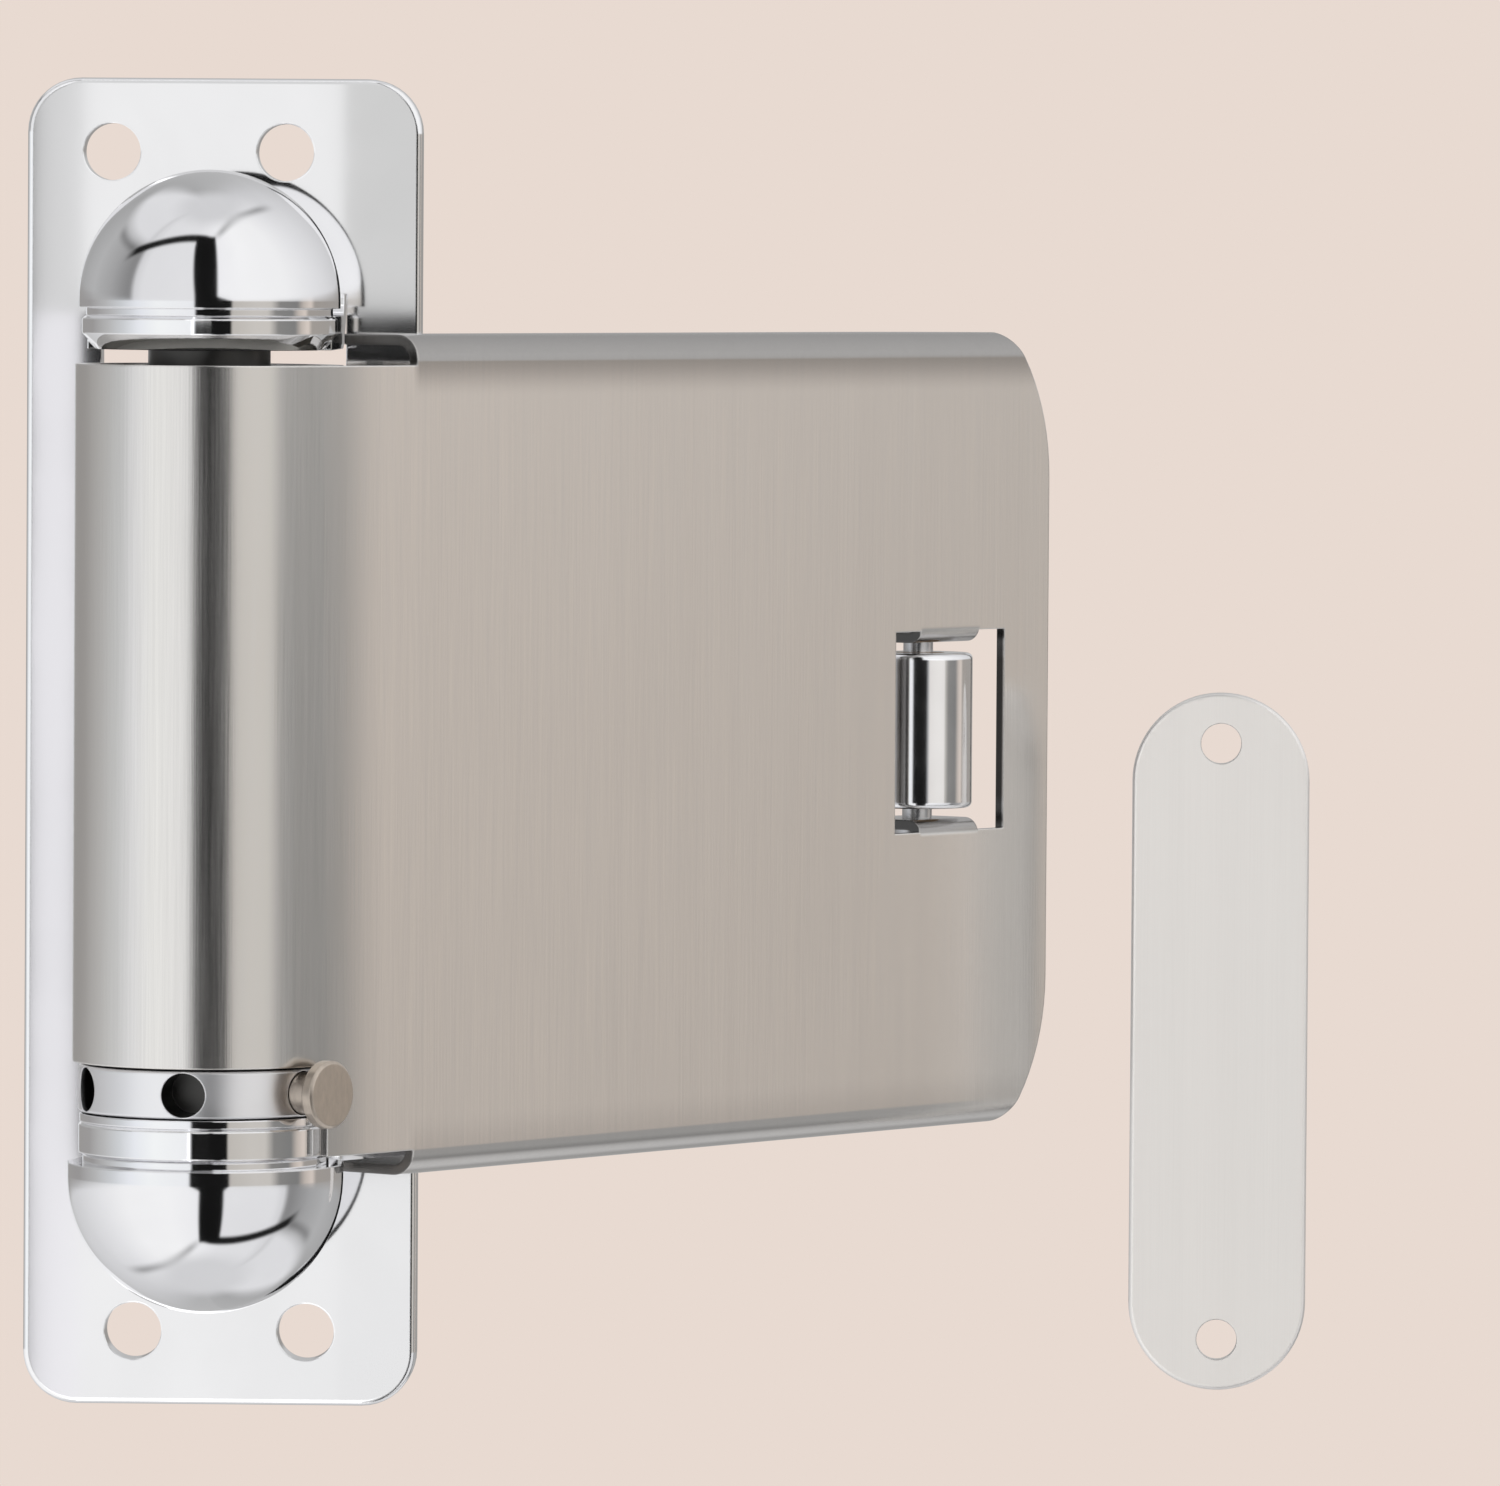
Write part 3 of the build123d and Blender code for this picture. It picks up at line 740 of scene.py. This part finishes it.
class CLOSER_OT_winding_collar(bpy.types.Operator):
    """Finish the winding collar as chrome with painted shade in its bores"""

    bl_idname = "closer.winding_collar"
    bl_label = "Winding collar"

    def execute(self, context):
        finishes = context.scene.closer_finishes
        low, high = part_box("winding_collar")
        axis = ((low.x + high.x) / 2, (low.y + high.y) / 2, 0)
        skin = (high.x - low.x) / 2
        # The bores get the oiled steel's colour as painted shade
        chrome = bored_chrome(
            "collar_chrome", tuple(finishes.chrome), tuple(finishes.oiled), axis, skin, finishes.edge_round
        )
        dress(chrome, "winding_collar")
        return {"FINISHED"}


class CLOSER_OT_roller_arm(bpy.types.Operator):
    """Finish the folded arm and its knuckle as satin nickel"""

    bl_idname = "closer.roller_arm"
    bl_label = "Roller arm"

    def execute(self, context):
        finishes = context.scene.closer_finishes
        dress(arm_finish(tuple(finishes.nickel), tuple(finishes.oiled), finishes.edge_round), "roller_arm")
        return {"FINISHED"}


class CLOSER_OT_roller(bpy.types.Operator):
    """Finish the roller, the turned steel pieces and the bearing bushes"""

    bl_idname = "closer.roller"
    bl_label = "Roller and axle"

    def execute(self, context):
        finishes = context.scene.closer_finishes
        chrome = metal_finish(
            "ground_chrome",
            tuple(finishes.chrome),
            finishes.edge_round,
            roughness=0.10,
            spread=0.02,
            cloud_size=90.0,
            relief=0.01,
        )
        dress(chrome, "roller")
        steel = metal_finish(
            "turned_steel",
            tuple(finishes.steel),
            finishes.edge_round,
            roughness=0.26,
            spread=0.04,
            cloud_size=120.0,
            relief=0.02,
        )
        dress(steel, "roller_axle", "spindle", "anchor_pin")
        bronze = metal_finish(
            "bearing_bronze",
            tuple(finishes.bronze),
            finishes.edge_round,
            roughness=0.38,
            spread=0.05,
            cloud_size=200.0,
            relief=0.05,
        )
        dress(bronze, "roller_bushes", "collar_bush")
        return {"FINISHED"}


class CLOSER_OT_tension_pin(bpy.types.Operator):
    """Finish the tension pin as brushed nickel bronze"""

    bl_idname = "closer.tension_pin"
    bl_label = "Tension pin"

    def execute(self, context):
        finishes = context.scene.closer_finishes
        bronze = brushed_finish(
            "brushed_pin",
            tuple(finishes.pin),
            finishes.edge_round,
            roughness=0.32,
            across=2500.0,
            along=900.0,
            contrast=0.24,
            relief=0.08,
        )
        dress(bronze, "tension_pin")
        return {"FINISHED"}


class CLOSER_OT_spring_works(bpy.types.Operator):
    """Finish the spring, its anchor, guide and bushes"""

    bl_idname = "closer.spring_works"
    bl_label = "Spring works"

    def execute(self, context):
        finishes = context.scene.closer_finishes
        oiled = metal_finish(
            "oiled_steel",
            tuple(finishes.oiled),
            finishes.edge_round,
            roughness=0.36,
            spread=0.06,
            cloud_size=140.0,
            relief=0.05,
        )
        dress(oiled, "torsion_spring", "spring_anchor")
        dress(nylon_finish(tuple(finishes.nylon)), "spring_guide", "upper_bush", "lower_bush")
        return {"FINISHED"}


class CLOSER_OT_rub_plate(bpy.types.Operator):
    """Finish the rub plate as pale satin steel with painted shade along its edges and hole rims"""

    bl_idname = "closer.rub_plate"
    bl_label = "Rub plate"

    def execute(self, context):
        finishes = context.scene.closer_finishes
        satin = brushed_finish(
            "pale_satin_steel",
            tuple(finishes.rub),
            finishes.edge_round,
            roughness=0.40,
            across=6000.0,
            along=50.0,
            contrast=0.05,
            relief=0.03,
            # Painted shade along the edges and hole rims
            edge_shade=0.45,
        )
        dress(satin, "rub_plate")
        return {"FINISHED"}


# Stage


def direction_angles(tree):
    """Azimuth from the front, positive to the right, and elevation of a world direction, in degrees."""
    direction = add_node(tree, "ShaderNodeTexCoord").outputs["Generated"]
    front = times(tree, part_along(tree, direction, "Y"), -1.0)
    azimuth = math_node(tree, "ARCTAN2", part_along(tree, direction, "X"), front)
    elevation = math_node(tree, "ARCSINE", part_along(tree, direction, "Z"))
    return times(tree, azimuth, degrees(1)), times(tree, elevation, degrees(1))


def light_ramp(tree, azimuth, stops):
    """Light round the object as stops of azimuth and colour; returns the colour."""
    turn = math_node(tree, "MULTIPLY_ADD", azimuth, 1 / FULL_TURN, 0.5)
    node = add_node(tree, "ShaderNodeValToRGB")
    tree.links.new(turn, node.inputs["Fac"])
    ramp = node.color_ramp
    while len(ramp.elements) > 1:
        ramp.elements.remove(ramp.elements[-1])
    for index, (angle, colour) in enumerate(stops):
        spot = angle / FULL_TURN + 0.5
        element = ramp.elements[0] if index == 0 else ramp.elements.new(spot)
        element.position = spot
        element.color = (*colour, 1)
    return node.outputs["Color"]


def level_light(tree, azimuth):
    """What upright faces mirror: dim behind, white on the left, warm, dim and warm again on the right."""
    stops = [
        (-180, (0.32, 0.31, 0.30)),
        (-127, (0.35, 0.34, 0.335)),
        (-100, (0.51, 0.51, 0.51)),
        (-80, (0.66, 0.68, 0.70)),
        (-63, (0.87, 0.89, 0.93)),
        (-43, (0.98, 1.0, 1.0)),
        (-8, (0.92, 0.93, 0.95)),
        (22, (0.54, 0.51, 0.47)),
        (46, (0.62, 0.59, 0.55)),
        (60, (0.61, 0.58, 0.54)),
        (69, (0.25, 0.245, 0.235)),
        (88, (0.22, 0.22, 0.215)),
        (96, (0.56, 0.50, 0.45)),
        (103, (0.70, 0.62, 0.56)),
        (105.5, (0.70, 0.62, 0.56)),
        (110.5, (0.38, 0.35, 0.32)),
        (150, (0.36, 0.34, 0.32)),
        (180, (0.32, 0.31, 0.30)),
    ]
    return light_ramp(tree, azimuth, stops)


def rail_mask(tree, azimuth, elevation, rail):
    """Mask of a rail that is highest at its middle azimuth and bows down either side."""
    aside = math_node(tree, "SUBTRACT", azimuth, rail.middle)
    drop = times(tree, times(tree, aside, aside), rail.bow)
    above = math_node(tree, "ADD", math_node(tree, "SUBTRACT", elevation, rail.top), drop)
    across = inside(tree, above, -rail.half_height, rail.half_height, rail.soft)
    along = inside(tree, azimuth, rail.start, rail.stop, rail.fade)
    return times(tree, times(tree, across, along), rail.share)


def raised_light(tree, azimuth, elevation):
    """What the domes mirror above the level: pale walls, a broad white one on the right, and dark rails."""
    stops = [
        (-180, (0.50, 0.50, 0.50)),
        (-150, (0.40, 0.40, 0.40)),
        (-120, (0.48, 0.48, 0.48)),
        (-95, (0.40, 0.40, 0.40)),
        (-75, (0.27, 0.27, 0.27)),
        (-71, (0.28, 0.28, 0.28)),
        (-66, (0.72, 0.72, 0.73)),
        (-58, (0.82, 0.82, 0.83)),
        (-12, (0.84, 0.84, 0.85)),
        (14, (0.95, 0.95, 0.96)),
        (36, (1.0, 1.0, 1.0)),
        (75, (0.98, 0.98, 0.98)),
        (105, (0.86, 0.86, 0.87)),
        (155, (0.66, 0.66, 0.67)),
        (180, (0.50, 0.50, 0.50)),
    ]
    walls = light_ramp(tree, azimuth, stops)
    upper = mask(tree, elevation, *UPPER_LEFT_RISE, smooth=True)
    upper_left = times(tree, upper, inside(tree, azimuth, *UPPER_LEFT_SPAN, UPPER_LEFT_SOFT))
    walls = tint(tree, upper_left, walls, UPPER_LEFT_LIGHT)
    rails = largest(tree, [rail_mask(tree, azimuth, elevation, rail) for rail in RAILS])
    walls = tint(tree, rails, walls, RAIL_LIGHT)
    return tint(tree, mask(tree, elevation, *CEILING_RISE, smooth=True), walls, CEILING_LIGHT)


def slit_edge(tree, side, away, off_level, below):
    """Azimuth of the slit's left (0) or right (1) edge at a distance from the level."""
    above_level, below_level = [
        remap(tree, away, *SLIT_RUN, near[side], far[side]) for near, far in (SLIT_ABOVE, SLIT_BELOW)
    ]
    return choose(tree, off_level, SLIT_AT_LEVEL[side], choose(tree, below, above_level, below_level))


def camera_slit(tree, azimuth, elevation, raised_elevation, below):
    """Mask of the dark slit that the camera looks through, widest at the level."""
    away = math_node(tree, "ABSOLUTE", math_node(tree, "SUBTRACT", elevation, LEVEL))
    off_level = mask(tree, away, *SLIT_NARROWS, smooth=True)
    left, right = [slit_edge(tree, side, away, off_level, below) for side in (0, 1)]
    past_left = math_node(tree, "SUBTRACT", azimuth, left)
    past_right = math_node(tree, "SUBTRACT", azimuth, right)
    from_left = mask(tree, past_left, -SLIT_SOFT, SLIT_SOFT, smooth=True)
    from_right = mask(tree, past_right, SLIT_SOFT, -SLIT_SOFT, smooth=True)
    tall = mask(tree, raised_elevation, *SLIT_TOP, smooth=True)
    return times(tree, times(tree, from_left, from_right), tall)


def build_world(stage):
    """Studio seen by the metal, and a plain backdrop seen by the camera."""
    world = bpy.data.worlds.new("studio")
    bpy.context.scene.world = world
    world.use_nodes = True
    tree = world.node_tree
    shader = tree.nodes["Background"]
    azimuth, elevation = direction_angles(tree)
    below = math_node(tree, "LESS_THAN", elevation, LEVEL)
    turned_azimuth = math_node(tree, "SUBTRACT", 2 * VIEW_TURN, azimuth)
    turned_elevation = math_node(tree, "SUBTRACT", 2 * VIEW_RISE, elevation)
    raised_azimuth = choose(tree, below, azimuth, turned_azimuth)
    raised_elevation = choose(tree, below, elevation, turned_elevation)
    walls = raised_light(tree, raised_azimuth, raised_elevation)
    level = inside(tree, elevation, LEVEL - LEVEL_BAND, LEVEL + LEVEL_BAND, LEVEL_SOFT)
    walls = tint(tree, level, walls, level_light(tree, azimuth))
    slit = camera_slit(tree, azimuth, elevation, raised_elevation, below)
    walls = tint(tree, slit, walls, SLIT_LIGHT)
    rays = add_node(tree, "ShaderNodeLightPath")
    seen = tint(tree, rays.outputs["Is Camera Ray"], walls, tuple(stage.backdrop))
    tree.links.new(seen, shader.inputs["Color"])


def build_floor(stage):
    """Pale floor below the object that fades into the backdrop."""
    low, high = cad_box
    centre = (low + high) / 2
    bpy.ops.mesh.primitive_circle_add(
        vertices=96,
        radius=stage.floor_radius,
        fill_type="NGON",
        location=(centre.x, centre.y, low.z - stage.floor_drop),
    )
    floor = bpy.context.object
    floor.name = "floor"
    finish, tree, shader = new_finish("floor")
    place = add_node(tree, "ShaderNodeTexCoord").outputs["Object"]
    reach = length_of(tree, place)
    solid = mask(tree, reach, stage.floor_radius, stage.floor_radius * FLOOR_SOLID, smooth=True)
    grain = noise(tree, place, Scale=25.0, Detail=3.0)
    base = vary(tree, grain.outputs["Fac"], tuple(stage.backdrop), low=0.99, high=1.01)
    tree.links.new(base, shader.inputs["Base Color"])
    tree.links.new(solid, shader.inputs["Alpha"])
    shader.inputs["Roughness"].default_value = 1.0
    shader.inputs["Specular IOR Level"].default_value = 0.0
    floor.data.materials.append(finish)
    floor.visible_glossy = False


def build_overhead(stage):
    """One broad light above the object, which the metal doesn't mirror."""
    lamp = bpy.data.lights.new("overhead", "AREA")
    lamp.shape = "DISK"
    lamp.size = OVERHEAD_WIDTH
    lamp.energy = stage.overhead
    light = bpy.data.objects.new("overhead", lamp)
    bpy.context.scene.collection.objects.link(light)
    light.location = OVERHEAD_PLACE
    light.rotation_mode = "QUATERNION"
    light.rotation_quaternion = (-Vector(OVERHEAD_PLACE)).to_track_quat("-Z", "Y")
    light.visible_glossy = False


def build_card(name, card):
    """Card that faces the object from the front and lights only its own node."""
    lamp = bpy.data.lights.new(name, "AREA")
    lamp.shape = "RECTANGLE"
    lamp.size = card.across[1] - card.across[0]
    lamp.size_y = card.upright[1] - card.upright[0]
    lamp.color = card.colour
    lamp.energy = card.strength * pi * lamp.size * lamp.size_y
    light = bpy.data.objects.new(name, lamp)
    bpy.context.scene.collection.objects.link(light)
    light.location = (sum(card.across) / 2, card.y, sum(card.upright) / 2)
    light.rotation_euler = (pi / 2, 0, 0)
    lit = bpy.data.collections.new(name)
    lit.objects.link(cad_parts[card.node])
    light.light_linking.receiver_collection = lit


def far_span(angles):
    """Span at the far card's distance between two angles seen from the object."""
    return tuple(-FAR_CARD_Y * tan(radians(angle)) for angle in angles)


def build_cards():
    """Cards for the flat and upright faces that would mirror the dark slit or the dim right."""
    plate = "mounting_plate"
    far_across = far_span(FAR_CARD_TURN)
    far_upright = far_span(FAR_CARD_RISE)
    cards = {
        "card_upper_left": Card(plate, PLATE_LEFT, PLATE_TOP, 0.70),
        "card_left": Card(plate, PLATE_LEFT, PLATE_SIDE, 0.91, (0.98, 0.97, 1.0)),
        "card_upper_middle": Card(plate, PLATE_MIDDLE, PLATE_TOP, 0.91),
        "card_lower_middle": Card(plate, PLATE_MIDDLE, PLATE_FOOT, 0.91),
        "card_upper_right": Card(plate, PLATE_RIGHT, PLATE_TOP, 0.66, (1.0, 1.0, 0.99)),
        "card_lower_right": Card(plate, PLATE_RIGHT, PLATE_FOOT, 0.88),
        "card_above": Card(plate, PLATE_EDGES, (0.085, 0.45), 0.70),
        "card_below": Card(plate, PLATE_EDGES, (-0.45, -0.10), 0.55),
        "card_fill": Card(plate, (-0.022, 0.022), (-0.043, 0.031), 0.85),
        "card_roller": Card("roller", (0.158, 0.50), (-0.08, 0.06), 0.25, (0.95, 0.97, 1.0)),
        "card_arm": Card("roller_arm", far_across, far_upright, 0.5, (1.0, 0.98, 0.95), FAR_CARD_Y),
        "card_rub_plate": Card("rub_plate", (-0.02, 0.22), (-0.20, 0.12), 0.565, (1.0, 0.97, 0.93)),
    }
    for name, card in cards.items():
        build_card(name, card)


def build_camera(stage):
    """Long lens at the photograph's angle."""
    data = bpy.data.cameras.new("camera")
    data.lens = stage.lens
    data.sensor_width = SENSOR_WIDTH
    data.sensor_fit = "HORIZONTAL"
    data.clip_start = CLIP_START
    data.clip_end = CLIP_END
    camera = bpy.data.objects.new("camera", data)
    bpy.context.scene.collection.objects.link(camera)
    eye = Vector(stage.eye)
    ahead = (Vector(stage.target) - eye).normalized()
    right = ahead.cross(Vector((0, 0, 1))).normalized()
    turned = (Matrix.Rotation(-stage.roll, 3, ahead) @ right).normalized()
    above = turned.cross(ahead)
    rotation = Matrix((turned, above, -ahead)).transposed()
    camera.matrix_world = Matrix.Translation(eye) @ rotation.to_4x4()
    bpy.context.scene.camera = camera


class CLOSER_OT_stage(bpy.types.Operator):
    """Build the studio, floor, lights and camera"""

    bl_idname = "closer.stage"
    bl_label = "Stage"

    def execute(self, context):
        stage = context.scene.closer_stage
        context.scene.view_settings.view_transform = "Standard"
        build_world(stage)
        build_floor(stage)
        build_overhead(stage)
        build_cards()
        build_camera(stage)
        return {"FINISHED"}


OPERATORS = (
    CLOSER_OT_mounting_plate,
    CLOSER_OT_dome_caps,
    CLOSER_OT_winding_collar,
    CLOSER_OT_roller_arm,
    CLOSER_OT_roller,
    CLOSER_OT_tension_pin,
    CLOSER_OT_spring_works,
    CLOSER_OT_rub_plate,
    CLOSER_OT_stage,
)


class CLOSER_PT_panel(bpy.types.Panel):
    """Sidebar panel with one button for each group of pieces and one for the stage"""

    bl_idname = "CLOSER_PT_panel"
    bl_label = "Door closer"
    bl_space_type = "VIEW_3D"
    bl_region_type = "UI"
    bl_category = "Closer"

    def draw(self, context):
        for operator in OPERATORS:
            self.layout.operator(operator.bl_idname)


CLASSES = (CloserFinishes, CloserStage, *OPERATORS, CLOSER_PT_panel)


def register():
    """Register the settings, operators and panel."""
    for item in CLASSES:
        bpy.utils.register_class(item)
    bpy.types.Scene.closer_finishes = PointerProperty(type=CloserFinishes)
    bpy.types.Scene.closer_stage = PointerProperty(type=CloserStage)


def unregister():
    """Remove them again."""
    del bpy.types.Scene.closer_stage
    del bpy.types.Scene.closer_finishes
    for item in reversed(CLASSES):
        bpy.utils.unregister_class(item)


def main():
    """Build everything in order."""
    register()
    bpy.ops.closer.mounting_plate()
    bpy.ops.closer.dome_caps()
    bpy.ops.closer.winding_collar()
    bpy.ops.closer.roller_arm()
    bpy.ops.closer.roller()
    bpy.ops.closer.tension_pin()
    bpy.ops.closer.spring_works()
    bpy.ops.closer.rub_plate()
    bpy.ops.closer.stage()


if __name__ == "__main__":
    main()
